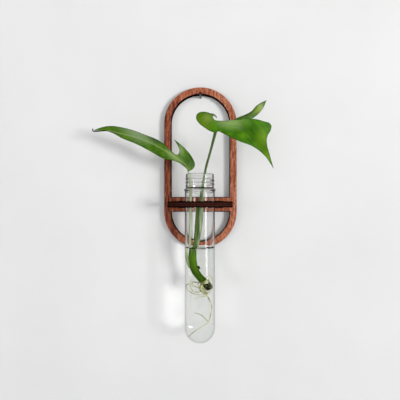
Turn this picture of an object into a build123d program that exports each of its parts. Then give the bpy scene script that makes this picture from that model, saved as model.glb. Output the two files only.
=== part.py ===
from build123d import *
import math
import os

# Test tube vase: a flat wooden frame hangs on a nail, and its shelf holds a glass tube of water
# with a rooting leaf cutting. Millimetres, +Z up, +X right, and the front faces -Y.
# The wall is the plane y = 0, and the frame swings about the Y axis.

# Frame and shelf, cut from one sheet of plywood
sheet = 5.0
frame_w = 64.0
frame_straight = 78.0
rail_w = 6.2
crossbar_h = 13.0
shelf_w = 56.0
shelf_reach = 37.0
tab_w = 10.0
tab_spacing = 28.0
slot_gap = 0.05

# Nail, driven in sloping so that its head is the higher end
nail_r = 0.9
nail_len = 30.0
nail_clear = 0.6
nail_slope = 7.0
nail_head_r = 1.25
nail_head_len = 1.4
nail_point_len = 2.6
hang_gap = 0.05

# Glass tube with a screw neck, a bead under the thread and a round bottom
tube_r = 12.5
tube_len = 140.0
tube_wall = 1.3
tube_out = 24.0
tube_above_shelf = 22.8
tube_gap = 0.05
neck_step = 0.8
neck_len = 12.6
neck_wall = 1.4
bead_stand = 0.6
bead_h = 1.8
thread_r = 0.5
thread_pitch = 3.0
thread_turns = 2.6
thread_start = 2.6

# Water, and the space it leaves round glass and plant
water_drop = 61.3
water_gap = 0.05
plant_gap = 0.3

# Cutting: radii of its round parts and the thickness of its leaves
petiole_r = 1.05
cane_r = 2.4
cane_end_r = 2.8
cane_end_len = 7.0
cane_cut_angle = 40.0
bud_r = 1.35
bud_share = 0.80
root_r = 0.45
leaf_t = 0.6

# Ball of roots: its top and its lowest point, in parts of the tube's length from the mouth
root_ball_top = 0.58
root_ball_low = 0.725

# Leaves: length from base to tip, and the place of the base from the middle of the mouth
left_leaf_len = 86.2
left_base_out = 9.3
left_base_rise = 2.2
right_leaf_len = 55.6
right_base_out = 13.0
right_base_rise = 32.7

# Each blade bends forwards in an arc about an upright axis: the arc's depth and half width,
# and its foremost place, sideways from the leaf's base and forwards of the tube's axis
left_leaf_bulge = 5.0
left_leaf_half_w = 41.0
left_leaf_mid = 40.7
left_leaf_forward = 6.0
right_leaf_bulge = 5.0
right_leaf_half_w = 34.0
right_leaf_mid = 15.0
right_leaf_forward = 9.0
back_lobe_forward = 8.2
back_lobe_set_back = 9.5

# Places worked out from the sizes above
arch_r = frame_w / 2 - rail_w
upper_z = nail_r / math.cos(math.radians(nail_slope)) + hang_gap - arch_r
lower_z = upper_z - frame_straight
shelf_z = lower_z + (crossbar_h - sheet) / 2
mouth_z = shelf_z + sheet + tube_above_shelf
bead_top_z = mouth_z - neck_len
bead_low_z = bead_top_z - bead_h
round_z = mouth_z - tube_len + tube_r
bore_r = tube_r - tube_wall
neck_r = tube_r - neck_step
neck_bore_r = neck_r - neck_wall
bead_r = tube_r + bead_stand
nail_out = tube_out - bead_r - nail_clear
water_z = mouth_z - water_drop
thread_z = mouth_z - thread_start - thread_pitch * thread_turns


def on_tube_axis(shape):
    """Move a shape made about the Z axis to the tube's axis."""
    return Pos(0, -tube_out, 0) * shape


def make_nail():
    """Round wire nail with a small head, turned about its own axis and set at its slope."""
    shank_end = nail_len - nail_point_len
    outline = Polyline(
        (0, 0),
        (0.6 * nail_head_r, 0),
        (nail_head_r, 0.25 * nail_head_len),
        (nail_head_r, 0.75 * nail_head_len),
        (nail_r, nail_head_len + nail_head_r - nail_r),
        (nail_r, shank_end),
        (0, nail_len),
        close=True,
    )
    blank = revolve(Plane.XZ * make_face(outline), Axis.Z)
    slope = math.radians(nail_slope)
    into_wall = Vector(0, math.cos(slope), -math.sin(slope))
    bearing = Vector(0, -sheet, 0)
    outer_end = bearing - into_wall * ((nail_out - sheet) / math.cos(slope))
    return Plane(origin=outer_end, x_dir=(1, 0, 0), z_dir=into_wall) * blank


def make_frame():
    """Round-ended loop with a crossbar, and slots in the crossbar for the shelf's tabs."""
    middle = Pos(0, (upper_z + lower_z) / 2) * Rot(0, 0, 90)
    loop = middle * SlotCenterToCenter(frame_straight, frame_w)
    loop -= middle * SlotCenterToCenter(frame_straight, 2 * arch_r)
    loop += Pos(0, lower_z + crossbar_h / 2) * Rectangle(2 * arch_r + rail_w, crossbar_h)
    for side in (-1, 1):
        slot = Rectangle(tab_w + 2 * slot_gap, sheet + 2 * slot_gap)
        loop -= Pos(side * tab_spacing / 2, shelf_z + sheet / 2) * slot
    return extrude(Plane.XZ * loop, sheet)


def make_shelf():
    """Round-fronted shelf with the tube's hole, and two tabs through the crossbar."""
    front_r = shelf_w / 2
    arc_y = front_r - sheet - shelf_reach
    plan = Pos(0, (arc_y - sheet) / 2) * Rectangle(shelf_w, -sheet - arc_y)
    plan += Pos(0, arc_y) * Circle(front_r)
    plan -= Pos(0, arc_y + shelf_w) * Rectangle(shelf_w, 2 * (shelf_w + arc_y + sheet))
    for side in (-1, 1):
        plan += Pos(side * tab_spacing / 2, -sheet / 2) * Rectangle(tab_w, sheet)
    plan -= Pos(0, -tube_out) * Circle(tube_r + tube_gap)
    return Pos(0, 0, shelf_z) * extrude(plan, sheet)


def make_test_tube():
    """Blown glass tube: turned wall with a rounded lip and a bead, and a round screw thread."""
    lip = neck_wall / 2
    lip_z = mouth_z - lip
    bead_z = (bead_top_z + bead_low_z) / 2
    diagonal = math.sin(math.radians(45))
    wall = [
        ThreePointArc((neck_bore_r, lip_z), (neck_bore_r + lip, mouth_z), (neck_r, lip_z)),
        Line((neck_r, lip_z), (neck_r, bead_top_z)),
        ThreePointArc((neck_r, bead_top_z), (bead_r, bead_z), (tube_r, bead_low_z)),
        Line((tube_r, bead_low_z), (tube_r, round_z)),
        ThreePointArc(
            (tube_r, round_z),
            (tube_r * diagonal, round_z - tube_r * diagonal),
            (0, round_z - tube_r),
        ),
        Line((0, round_z - tube_r), (0, round_z - bore_r)),
        ThreePointArc(
            (0, round_z - bore_r),
            (bore_r * diagonal, round_z - bore_r * diagonal),
            (bore_r, round_z),
        ),
        Line((bore_r, round_z), (bore_r, bead_low_z - bead_h)),
        Line((bore_r, bead_low_z - bead_h), (neck_bore_r, bead_top_z)),
        Line((neck_bore_r, bead_top_z), (neck_bore_r, lip_z)),
    ]
    glass = revolve(Plane.XZ * make_face(wall), Axis.Z)
    path = Helix(thread_pitch, thread_pitch * thread_turns, neck_r, center=(0, 0, thread_z))
    profile = Plane(origin=path @ 0, z_dir=path % 0) * Circle(thread_r)
    return on_tube_axis(glass + sweep(profile, path=path, is_frenet=True))


def stalk_line(points):
    """Middle line of a stalk: straight runs joined by tangent arcs as large as the runs allow."""
    points = [Vector(*point) for point in points]
    radii = []
    for before, here, after in zip(points, points[1:], points[2:]):
        turn = math.radians((here - before).get_angle(after - here))
        run = min((here - before).length, (after - here).length)
        radii.append(0.45 * run / math.tan(turn / 2))
    return FilletPolyline(*points, radius=radii)


def stalk(points, radius):
    """Round stalk along its middle line."""
    path = stalk_line(points)
    profile = Plane(origin=path @ 0, z_dir=path % 0) * Circle(radius)
    return sweep(profile, path=path)


def in_tube(right, front, drop):
    """Place in the tube: right and front in parts of the neck's bore, drop in parts of its length."""
    return (right * neck_bore_r, -front * neck_bore_r, -drop * tube_len)


# Routes of the stalks from the leaf down, about the middle of the mouth.
# In the tube they stay within the neck's bore, so that the cutting can be lifted out.
left_petiole_route = [
    (-1.15 * left_base_out, -0.2 * left_leaf_forward, 2.1 * left_base_rise),
    in_tube(-0.84, 0.06, 0.000),
    in_tube(-0.78, 0.04, 0.057),
    in_tube(-0.76, 0.0, 0.136),
    in_tube(-0.80, -0.04, 0.229),
    in_tube(-0.82, -0.08, 0.329),
    in_tube(-0.80, -0.11, 0.429),
    in_tube(-0.77, -0.14, 0.500),
    in_tube(-0.54, -0.15, 0.550),
]
right_petiole_route = [
    (0.985 * right_base_out, -0.89 * right_leaf_forward, 1.02 * right_base_rise),
    (0.74 * right_base_out, -0.50 * right_leaf_forward, 0.642 * right_base_rise),
    (0.385 * right_base_out, -0.13 * right_leaf_forward, 0.174 * right_base_rise),
    in_tube(0.34, 0.03, 0.029),
    in_tube(0.09, -0.07, 0.111),
    in_tube(-0.07, -0.13, 0.179),
]
cane_route = [
    in_tube(-0.06, -0.12, 0.164),
    in_tube(-0.17, -0.14, 0.264),
    in_tube(-0.28, -0.16, 0.357),
    in_tube(-0.40, -0.17, 0.436),
    in_tube(-0.45, -0.17, 0.507),
    in_tube(-0.33, -0.14, 0.568),
    in_tube(-0.02, -0.04, 0.611),
    in_tube(0.29, 0.10, 0.636),
]
long_root_route = [
    in_tube(0.21, 0.04, 0.637),
    in_tube(0.35, -0.10, 0.686),
    in_tube(0.58, -0.17, 0.736),
    in_tube(0.66, -0.14, 0.793),
    in_tube(0.54, -0.06, 0.850),
    in_tube(0.08, 0.0, 0.893),
    in_tube(-0.35, 0.04, 0.924),
    in_tube(-0.74, 0.06, 0.946),
]
root_routes = [
    [
        in_tube(0.06, -0.02, 0.625),
        in_tube(-0.45, 0.06, 0.641),
        in_tube(-0.87, 0.06, 0.659),
        in_tube(-0.67, 0.0, 0.689),
        in_tube(0.14, -0.04, 0.706),
    ],
    [
        in_tube(0.02, -0.06, 0.623),
        in_tube(-0.43, -0.23, 0.626),
        in_tube(-0.50, -0.33, 0.653),
        in_tube(-0.10, -0.33, 0.667),
    ],
    [
        in_tube(0.16, 0.0, 0.633),
        in_tube(0.10, 0.12, 0.679),
        in_tube(0.33, 0.19, 0.711),
        in_tube(0.68, 0.19, 0.691),
        in_tube(0.80, 0.06, 0.657),
    ],
    [
        in_tube(0.29, -0.08, 0.626),
        in_tube(0.43, -0.21, 0.594),
        in_tube(0.72, -0.25, 0.593),
        in_tube(0.83, -0.16, 0.637),
    ],
]


def make_cane():
    """Green stem from the leaf sheath down to the bend under water."""
    return stalk(cane_route, cane_r)


def make_cane_end():
    """Old brown piece of the stem below the bend, cut off at a slant."""
    start = Vector(*cane_route[-1])
    along = (start - Vector(*cane_route[-2])).normalized()
    piece = Plane(origin=start, z_dir=along) * extrude(Circle(cane_end_r), cane_end_len)
    cut_middle = start + along * (cane_end_len / 2)
    cut = Plane(origin=cut_middle, z_dir=along).rotated((cane_cut_angle, 0, 0))
    return split(piece, bisect_by=cut, keep=Keep.BOTTOM)


def make_bud(growth=0.0):
    """Small dark bud on the inside of the bend, half sunk in the cane."""
    line = stalk_line(cane_route)
    along = line % bud_share
    inward = along.cross(Vector(0, 1, 0)).normalized()
    return Pos(*(line @ bud_share + inward * cane_r)) * Sphere(bud_r + growth)


def make_roots():
    """Pale roots that curl round the foot of the cane."""
    roots = [stalk(route, root_r) for route in root_routes]
    bunch = roots[0]
    for root in roots[1:]:
        bunch += root
    return bunch


def bend_radius(half_w, bulge):
    """Radius of the arc that a blade follows, from the arc's half width and depth."""
    return (half_w**2 + bulge**2) / (2 * bulge)


def leaf_edges(base, length, *runs):
    """Smooth edges through runs of points, given from the leaf's base in parts of its length."""
    edges = []
    for run in runs:
        points = [(base[0] + right * length, base[1] + up * length) for right, up in run]
        edges.append(Spline(*points))
    return edges


def upright_block(edges, depth, height):
    """Upright block with the leaf's outline, as deep as the blade bends, from below to above it."""
    return Pos(0, depth, 0) * extrude(Plane.XZ * make_face(edges), 2 * depth)


def bent_blade(outline, mid, forward, half_w, bulge, length):
    """Leaf blade: its outline seen from the front, cut from an upright curved sheet."""
    bend_r = bend_radius(half_w, bulge)
    ring = Circle(bend_r + leaf_t / 2) - Circle(bend_r - leaf_t / 2)
    sheet_h = 4 * length
    wall = Pos(mid, bend_r - forward, -sheet_h / 2) * extrude(ring, sheet_h)
    return wall & upright_block(outline, bend_r / 2, sheet_h)


def make_left_leaf():
    """Long narrow blade with one basal lobe that stands up like a horn."""
    base = (-left_base_out, left_base_rise)
    stem_end = (0.0, 0.0)
    tip = (-0.920, 0.392)
    horn_tip = (-0.136, 0.304)
    upper = [
        tip,
        (-0.768, 0.425),
        (-0.600, 0.404),
        (-0.414, 0.342),
        (-0.252, 0.270),
        (-0.157, 0.183),
        (-0.103, 0.158),
        (-0.085, 0.200),
        (-0.103, 0.248),
        horn_tip,
    ]
    horn = [horn_tip, (-0.023, 0.208), (0.043, 0.118), (0.058, 0.060), (0.036, 0.019), stem_end]
    lower = [
        stem_end,
        (-0.048, 0.049),
        (-0.124, 0.093),
        (-0.240, 0.121),
        (-0.356, 0.183),
        (-0.490, 0.253),
        (-0.629, 0.309),
        (-0.745, 0.369),
        tip,
    ]
    outline = leaf_edges(base, left_leaf_len, upper, horn, lower)
    middle = base[0] - left_leaf_mid
    return bent_blade(
        outline, middle, left_leaf_forward, left_leaf_half_w, left_leaf_bulge, left_leaf_len
    )


def make_right_leaf():
    """Arrowhead blade with a lobe to the left, a tip to the right and a back lobe behind it."""
    base = (right_base_out, right_base_rise)
    stem_end = (0.0, 0.0)
    curl = (0.007, 0.228)
    sinus = (-0.047, 0.246)
    tip = (0.862, -0.507)
    left_lobe = [
        stem_end,
        (-0.088, 0.032),
        (-0.164, 0.083),
        (-0.237, 0.142),
        (-0.288, 0.232),
        (-0.263, 0.295),
        (-0.169, 0.315),
        (-0.065, 0.281),
        curl,
    ]
    hook = [curl, (-0.022, 0.243), sinus]
    upper = [
        sinus,
        (-0.014, 0.192),
        (0.061, 0.176),
        (0.270, 0.187),
        (0.522, 0.207),
        (0.705, 0.176),
        (0.813, 0.135),
        (0.817, 0.067),
        (0.759, -0.049),
        (0.754, -0.156),
        (0.795, -0.300),
        tip,
    ]
    lower = [
        tip,
        (0.719, -0.318),
        (0.563, -0.201),
        (0.356, -0.133),
        (0.153, -0.036),
        stem_end,
    ]
    outline = leaf_edges(base, right_leaf_len, left_lobe, hook, upper, lower)
    middle = base[0] + right_leaf_mid
    blade = bent_blade(
        outline, middle, right_leaf_forward, right_leaf_half_w, right_leaf_bulge, right_leaf_len
    )

    lobe_tip = (0.770, 0.527)
    top = [
        (0.022, 0.020),
        (0.126, 0.121),
        (0.313, 0.232),
        (0.532, 0.344),
        (0.619, 0.441),
        lobe_tip,
    ]
    under = [
        lobe_tip,
        (0.700, 0.379),
        (0.583, 0.261),
        (0.414, 0.171),
        (0.216, 0.081),
        (0.029, 0.005),
    ]
    foot = [under[-1], top[0]]
    lobe_outline = leaf_edges(base, right_leaf_len, top, under, foot)
    start = Vector(1.02 * right_base_out, -back_lobe_forward)
    end = start + Vector(0.755 * right_leaf_len, back_lobe_set_back)
    lobe_plane = Plane(origin=(start + end) / 2, x_dir=end - start, z_dir=(0, 0, 1))
    strip_h = 4 * right_leaf_len
    strip = extrude(Rectangle(2 * (end - start).length, leaf_t), strip_h)
    strip = lobe_plane * Pos(0, 0, -strip_h / 2) * strip
    return blade + (strip & upright_block(lobe_outline, right_leaf_len, strip_h))


def make_water(plant):
    """Water up to its level, with room left for what stands in it and for the ball of roots."""
    fill_r = bore_r - water_gap
    diagonal = math.sin(math.radians(45))
    edge = [
        Line((0, water_z), (fill_r, water_z)),
        Line((fill_r, water_z), (fill_r, round_z)),
        ThreePointArc(
            (fill_r, round_z),
            (fill_r * diagonal, round_z - fill_r * diagonal),
            (0, round_z - fill_r),
        ),
        Line((0, round_z - fill_r), (0, water_z)),
    ]
    water = on_tube_axis(revolve(Plane.XZ * make_face(edge), Axis.Z))
    for shape in plant:
        water -= shape
    return water


def build_all():
    """Every node's solid, with the grown joints of the cutting cut to meet face to face."""
    left_leaf = make_left_leaf()
    right_leaf = make_right_leaf()
    cane = make_cane()
    cane_end = make_cane_end() - cane
    long_root = stalk(long_root_route, root_r) - cane - cane_end
    cutting = {
        "cane": cane,
        "cane_end": cane_end,
        "side_bud": make_bud() - cane,
        "left_petiole": stalk(left_petiole_route, petiole_r) - left_leaf - cane,
        "left_leaf": left_leaf,
        "right_petiole": stalk(right_petiole_route, petiole_r) - right_leaf - cane,
        "right_leaf": right_leaf,
        "roots": make_roots() - cane - cane_end - long_root,
        "long_root": long_root,
    }
    room_h = (root_ball_low - root_ball_top) * tube_len
    roots_room = Pos(0, 0, -root_ball_low * tube_len) * extrude(Circle(neck_bore_r), room_h)
    in_water = [
        stalk(cane_route, cane_r + plant_gap),
        stalk(left_petiole_route, petiole_r + plant_gap),
        make_bud(plant_gap),
        roots_room,
        stalk(long_root_route, root_r + plant_gap),
    ]
    in_mouth = Pos(0, -tube_out, mouth_z)
    return {
        "wall_nail": make_nail(),
        "frame": make_frame(),
        "shelf": make_shelf(),
        "test_tube": make_test_tube(),
        "water": make_water([in_mouth * shape for shape in in_water]),
        **{node: in_mouth * shape for node, shape in cutting.items()},
    }


os.makedirs("parts", exist_ok=True)
for node, shape in build_all().items():
    export_step(shape, f"parts/{node}.step")
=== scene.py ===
import math
from functools import partial

import bmesh
import bpy
from mathutils import Matrix, Vector


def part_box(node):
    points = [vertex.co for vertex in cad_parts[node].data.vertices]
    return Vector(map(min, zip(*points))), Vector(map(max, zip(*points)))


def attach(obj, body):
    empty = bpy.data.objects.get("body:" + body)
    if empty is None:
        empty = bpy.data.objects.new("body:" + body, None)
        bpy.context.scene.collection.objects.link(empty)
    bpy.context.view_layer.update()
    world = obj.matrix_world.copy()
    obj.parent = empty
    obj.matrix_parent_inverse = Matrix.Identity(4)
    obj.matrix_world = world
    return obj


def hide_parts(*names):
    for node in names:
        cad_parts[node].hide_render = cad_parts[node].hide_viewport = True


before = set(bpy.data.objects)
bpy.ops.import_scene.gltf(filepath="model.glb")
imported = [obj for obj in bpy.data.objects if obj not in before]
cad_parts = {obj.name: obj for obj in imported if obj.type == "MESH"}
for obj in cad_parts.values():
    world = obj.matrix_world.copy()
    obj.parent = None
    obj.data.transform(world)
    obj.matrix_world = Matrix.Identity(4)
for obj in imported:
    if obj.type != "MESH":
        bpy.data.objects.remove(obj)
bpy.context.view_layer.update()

MM = 0.001


# Studio: the white painted wall that the vase hangs on, a pale floor well below it, and daylight
# from a window on the right and a weaker one on the left. None of it belongs to the vase.

def colour(code):
    """Linear colour from an sRGB hex code such as #8a5a3c."""
    linear = []
    for start in (1, 3, 5):
        value = int(code[start:start + 2], 16) / 255
        linear.append(value / 12.92 if value <= 0.04045 else ((value + 0.055) / 1.055) ** 2.4)
    return (*linear, 1.0)


def add_node(owner, kind, inputs=(), stops=(), **settings):
    """Add a node: its settings, a ramp's stops, and inputs by name or number, or a list of the first.

    An input is given a value, a hex colour, a socket, or a node that stands for its first output.
    """
    node = owner.node_tree.nodes.new("ShaderNode" + kind)
    for name, value in settings.items():
        setattr(node, name, value)
    for number, (place, code) in enumerate(stops):
        if number > 1:
            node.color_ramp.elements.new(place)
        node.color_ramp.elements[number].position = place
        node.color_ramp.elements[number].color = colour(code)
    for name, value in inputs.items() if isinstance(inputs, dict) else enumerate(inputs):
        if isinstance(value, str):
            value = colour(value)
        if isinstance(value, bpy.types.Node):
            value = next(result for result in value.outputs if result.enabled)
        if isinstance(value, bpy.types.NodeSocket):
            owner.node_tree.links.new(value, node.inputs[name])
        else:
            node.inputs[name].default_value = value
    return node


def new_material(name):
    """Node material, the function that adds a node to it, and its Object coordinates."""
    material = bpy.data.materials.new(name)
    material.use_nodes = True
    material.node_tree.nodes.clear()
    add = partial(add_node, material)
    return material, add, add("TexCoord").outputs["Object"]


def finish_material(material, kind, inputs):
    """Add a material's last shader and send it to the output."""
    shader = add_node(material, kind, inputs)
    add_node(material, "OutputMaterial", {"Surface": shader})
    return material


def add_object(name, bm, materials, crease=None):
    """Make a finished bmesh an object at the origin, smooth up to a crease angle in degrees."""
    mesh = bpy.data.meshes.new(name)
    bm.to_mesh(mesh)
    bm.free()
    for material in materials:
        mesh.materials.append(material)
    for face in mesh.polygons:
        face.use_smooth = True
    if crease:
        mesh.set_sharp_from_angle(angle=math.radians(crease))
    piece = bpy.data.objects.new(name, mesh)
    bpy.context.scene.collection.objects.link(piece)
    return piece


# The room's sizes are in metres, and those of the vase in millimetres.
wall_half = 5.0
wall_low_z = -0.27
wall_high_z = 0.06
wall_gap = 0.2 * MM
wall_touch = 1.2 * MM
wall_mottles_per_metre = 9.0
floor_z = -1.6
floor_mottles_per_metre = 5.0


def wall_paint():
    """Matt white emulsion, seen from the room only: soft mottles, and painted light that makes it a
    little lighter higher up.
    """
    material, add, place = new_material("matt_white_wall_paint")
    up = add("SeparateXYZ", [place]).outputs["Z"]
    # A range takes its value, the two limits that it comes from and the two that it goes to.
    # Painted light: the paint is drawn a little lighter higher up the wall, where more light falls.
    height = add("MapRange", [up, wall_low_z, wall_high_z, -0.3, 0.3])
    mottle = add("TexNoise", {"Vector": place, "Scale": wall_mottles_per_metre, "Detail": 4.0})
    level = add("Math", [mottle, height], operation="ADD")
    tone = add("ValToRGB", {"Fac": level}, [(0.1, "#e2e2e2"), (0.9, "#ededed")])
    paint = add("BsdfDiffuse", {"Color": tone})
    clear = add("BsdfTransparent")
    side = add("NewGeometry")
    ray = add("LightPath")
    # Light that has only just left the frame's back passes through, or the narrow gap there would
    # darken. The camera's own rays don't.
    close = add("Math", [ray.outputs["Ray Length"], wall_touch], operation="LESS_THAN")
    close_light = add(
        "Math", [close, ray.outputs["Is Camera Ray"]], operation="SUBTRACT", use_clamp=True
    )
    through = add("Math", [side.outputs["Backfacing"], close_light], operation="MAXIMUM")
    return finish_material(material, "MixShader", [through, paint, clear])


def floor_paint():
    """Matt pale floor with a faint mottle, which sends soft light back up at the vase."""
    material, add, place = new_material("matt_pale_floor")
    mottle = add("TexNoise", {"Vector": place, "Scale": floor_mottles_per_metre, "Detail": 3.0})
    tone = add("ValToRGB", {"Fac": mottle}, [(0.3, "#dcdcdc"), (0.7, "#e0e0e0")])
    return finish_material(material, "BsdfDiffuse", {"Color": tone})


bm = bmesh.new()
bmesh.ops.create_grid(bm, x_segments=1, y_segments=1, size=wall_half)
bmesh.ops.rotate(bm, verts=bm.verts, matrix=Matrix.Rotation(math.radians(90), 3, "X"))
bmesh.ops.translate(bm, verts=bm.verts, vec=(0, wall_gap, wall_half + floor_z))
wall = add_object("wall", bm, [wall_paint()])

bm = bmesh.new()
bmesh.ops.create_grid(bm, x_segments=1, y_segments=1, size=wall_half)
bmesh.ops.translate(bm, verts=bm.verts, vec=(0, 0, floor_z))
floor = add_object("floor", bm, [floor_paint()])

# The room's own light comes mostly from behind the camera, and less from straight above and below.
world = bpy.data.worlds.new("daylit_room")
bpy.context.scene.world = world
world.use_nodes = True
world.node_tree.nodes.clear()
way = add_node(world, "SeparateXYZ", {0: add_node(world, "TexCoord").outputs["Generated"]})
ahead = add_node(world, "MapRange", [way.outputs["Y"], -1.0, -0.2, 1.05, 0.12])
steepness = add_node(world, "Math", [way.outputs["Z"]], operation="ABSOLUTE")
even = add_node(world, "MapRange", [steepness, 0.6, 0.95, 0.86, 0.15])
soft = add_node(world, "Math", [even, ahead], operation="MULTIPLY")
# Glass and wax mirror a dim room that is pale only at its sides, next to the wall.
sides = add_node(world, "MapRange", [way.outputs["Y"], -0.2, 0.3, 0.03, 0.7])
mirrored = add_node(world, "LightPath").outputs["Is Glossy Ray"]
brightness = add_node(world, "Mix", {0: mirrored, 2: soft, 3: sides})
room = add_node(world, "Background", {"Color": "#ffffff", "Strength": brightness})
add_node(world, "OutputWorld", {"Surface": room})


def add_window(name, towards, distance, width, height, power, tint):
    """Soft upright light at a distance in metres from the vase, facing it."""
    lamp = bpy.data.lights.new(name, "AREA")
    lamp.shape = "RECTANGLE"
    lamp.size = width
    lamp.size_y = height
    lamp.energy = power
    lamp.color = colour(tint)[:3]
    # A mirrored window shows at a fifth of its strength, as dull as the line on the photo's tube.
    lamp.use_nodes = True
    lamp.node_tree.nodes.clear()
    mirrored = add_node(lamp, "LightPath").outputs["Glossy Depth"]
    level = add_node(lamp, "Mix", {0: mirrored, 2: 1.0, 3: 0.2})
    glow = add_node(lamp, "Emission", {"Strength": level})
    add_node(lamp, "OutputLight", {"Surface": glow})
    window = bpy.data.objects.new(name, lamp)
    bpy.context.scene.collection.objects.link(window)
    away = Vector(towards).normalized()
    window.location = Vector((0, 0, -0.1)) + away * distance
    window.rotation_euler = away.to_track_quat("Z", "Y").to_euler()
    window.visible_transmission = False
    return window


window_right = add_window(
    "window_right", (1.0, -1.0, 0.0), distance=4.0, width=0.95, height=1.0, power=90.0, tint="#fffffe"
)
window_left = add_window(
    "window_left", (-1.1, -1.0, 0.0), distance=4.0, width=1.0, height=1.0, power=20.0, tint="#fbfcff"
)
# Only the strong window shows in the glass, as one thin bright line.
window_left.visible_glossy = False
# A third, small light stands behind the wall, whose back is clear, and is there for the leaves.
add_window(
    "window_behind", (0.5, 1.0, 0.5), distance=1.8, width=0.8, height=0.8, power=12.0, tint="#ffffff"
)

# The camera looks level at the wall, from a little right of the nail and well below it.
camera_right = 8.0
camera_out = 330.0
camera_drop = 96.0
lens_mm = 33.09
sensor_mm = 36.0
camera_data = bpy.data.cameras.new("camera")
camera_data.sensor_width = sensor_mm
camera_data.lens = lens_mm
camera_data.shift_x = -0.02375
camera_data.shift_y = 0.01
camera = bpy.data.objects.new("camera", camera_data)
camera.location = (camera_right * MM, -camera_out * MM, -camera_drop * MM)
camera.rotation_euler = (math.radians(90), 0, 0)
bpy.context.scene.collection.objects.link(camera)
bpy.context.scene.camera = camera
bpy.context.scene.view_settings.view_transform = "Standard"


# Wall nail: a thin round steel nail, driven into the wall at a slight slope, that carries the
# frame. Its small head is dulled and browned, and its shank is plain drawn wire.

sheet = 5.0
nail_r = 0.9
nail_head_r = 1.25
nail_head_len = 1.4
nail_len = 30.0
nail_point_len = 2.6
nail_slope = math.radians(7)
nail_bearing = Vector((0, -sheet, 0))
nail_out = 10.3
rust_start = 8.6
rust_full = 9.4
weld = 0.001 * MM


def dull_steel():
    """Bright drawn steel gone dull: grey metal, with brown rust spots that start at the head."""
    material, add, place = new_material("dulled_drawn_steel")
    spots = add("TexNoise", {"Vector": place, "Scale": 1 / (0.8 * MM), "Detail": 5.0})
    out = add("SeparateXYZ", [place]).outputs["Y"]
    headward = add("MapRange", [out, -rust_start * MM, -rust_full * MM, 0.0, 0.6])
    rusting = add("Math", [spots, headward], operation="ADD")
    rust = add("ValToRGB", {"Fac": rusting}, [(0.55, "#000000"), (0.75, "#ffffff")])
    tone = add("Mix", {0: rust, 6: "#a39f98", 7: "#3d1a12"}, data_type="RGBA")
    metal = add("Math", [1.0, rust], operation="SUBTRACT")
    matt = add("MapRange", [rust, 0.0, 1.0, 0.38, 0.8])
    return finish_material(
        material, "BsdfPrincipled", {"Base Color": tone, "Metallic": metal, "Roughness": matt}
    )


def spin_outline(outline, out=0.0, steps=32):
    """Turned piece from its half section, by radius and height, about an axis out from the wall."""
    bm = bmesh.new()
    line = [bm.verts.new((radius * MM, -out * MM, height * MM)) for radius, height in outline]
    edges = [bm.edges.new(pair) for pair in zip(line, line[1:])]
    bmesh.ops.spin(
        bm, geom=line + edges, axis=(0, 0, 1), cent=(0, -out * MM, 0), angle=math.tau, steps=steps,
        use_merge=True,
    )
    bmesh.ops.remove_doubles(bm, verts=bm.verts, dist=weld)
    bmesh.ops.recalc_face_normals(bm, faces=bm.faces)
    return bm


def set_on(bm, foot, way):
    """Carry an upright piece from the origin to its foot and lean it along its way."""
    turn = Vector((0, 0, 1)).rotation_difference(way).to_matrix().to_4x4()
    bmesh.ops.transform(bm, verts=bm.verts, matrix=Matrix.Translation(foot * MM) @ turn)


def add_piece(name, bm, materials, body, node=None, crease=None):
    """Add a piece of the vase on its body, and hide the CAD node that it stands for, if it has one."""
    piece = add_object(name, bm, materials, crease)
    if node:
        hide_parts(node)
    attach(piece, body)
    return piece


nail_outline = [
    (0, 0),
    (0.6 * nail_head_r, 0),
    (0.9 * nail_head_r, 0.12 * nail_head_len),
    (nail_head_r, 0.3 * nail_head_len),
    (nail_head_r, 0.7 * nail_head_len),
    (nail_r, nail_head_len + nail_head_r - nail_r),
    (nail_r, nail_len - nail_point_len),
    (0.5 * nail_r, nail_len - 0.4 * nail_point_len),
    (0, nail_len),
]
bm = spin_outline(nail_outline)
into_wall = Vector((0, math.cos(nail_slope), -math.sin(nail_slope)))
nail_top = nail_bearing - into_wall * (nail_out - sheet) / math.cos(nail_slope)
set_on(bm, nail_top, into_wall)
add_piece("wall_nail_steel", bm, [dull_steel()], "nail", "wall_nail")


# Frame: one piece laser-cut from 5 mm plywood faced with reddish sapele veneer, oiled. The cut
# left its edges charred almost black, with the plies just showing.

rail_w = 6.2
crossbar_h = 13.0
tab_w = 10.0
tab_spacing = 28.0
slot_gap = 0.05
edge_round = 0.2
scorch_w = 1.0
sanded_w = 0.5
sanded_scorch = 0.15
arc_steps = 60
frame_low, frame_high = (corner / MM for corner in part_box("frame"))
shelf_low, shelf_high = (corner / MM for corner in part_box("shelf"))
frame_w = frame_high.x - frame_low.x
arch_r = frame_w / 2 - rail_w
upper_z = frame_high.z - frame_w / 2
lower_z = frame_low.z + frame_w / 2


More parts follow.
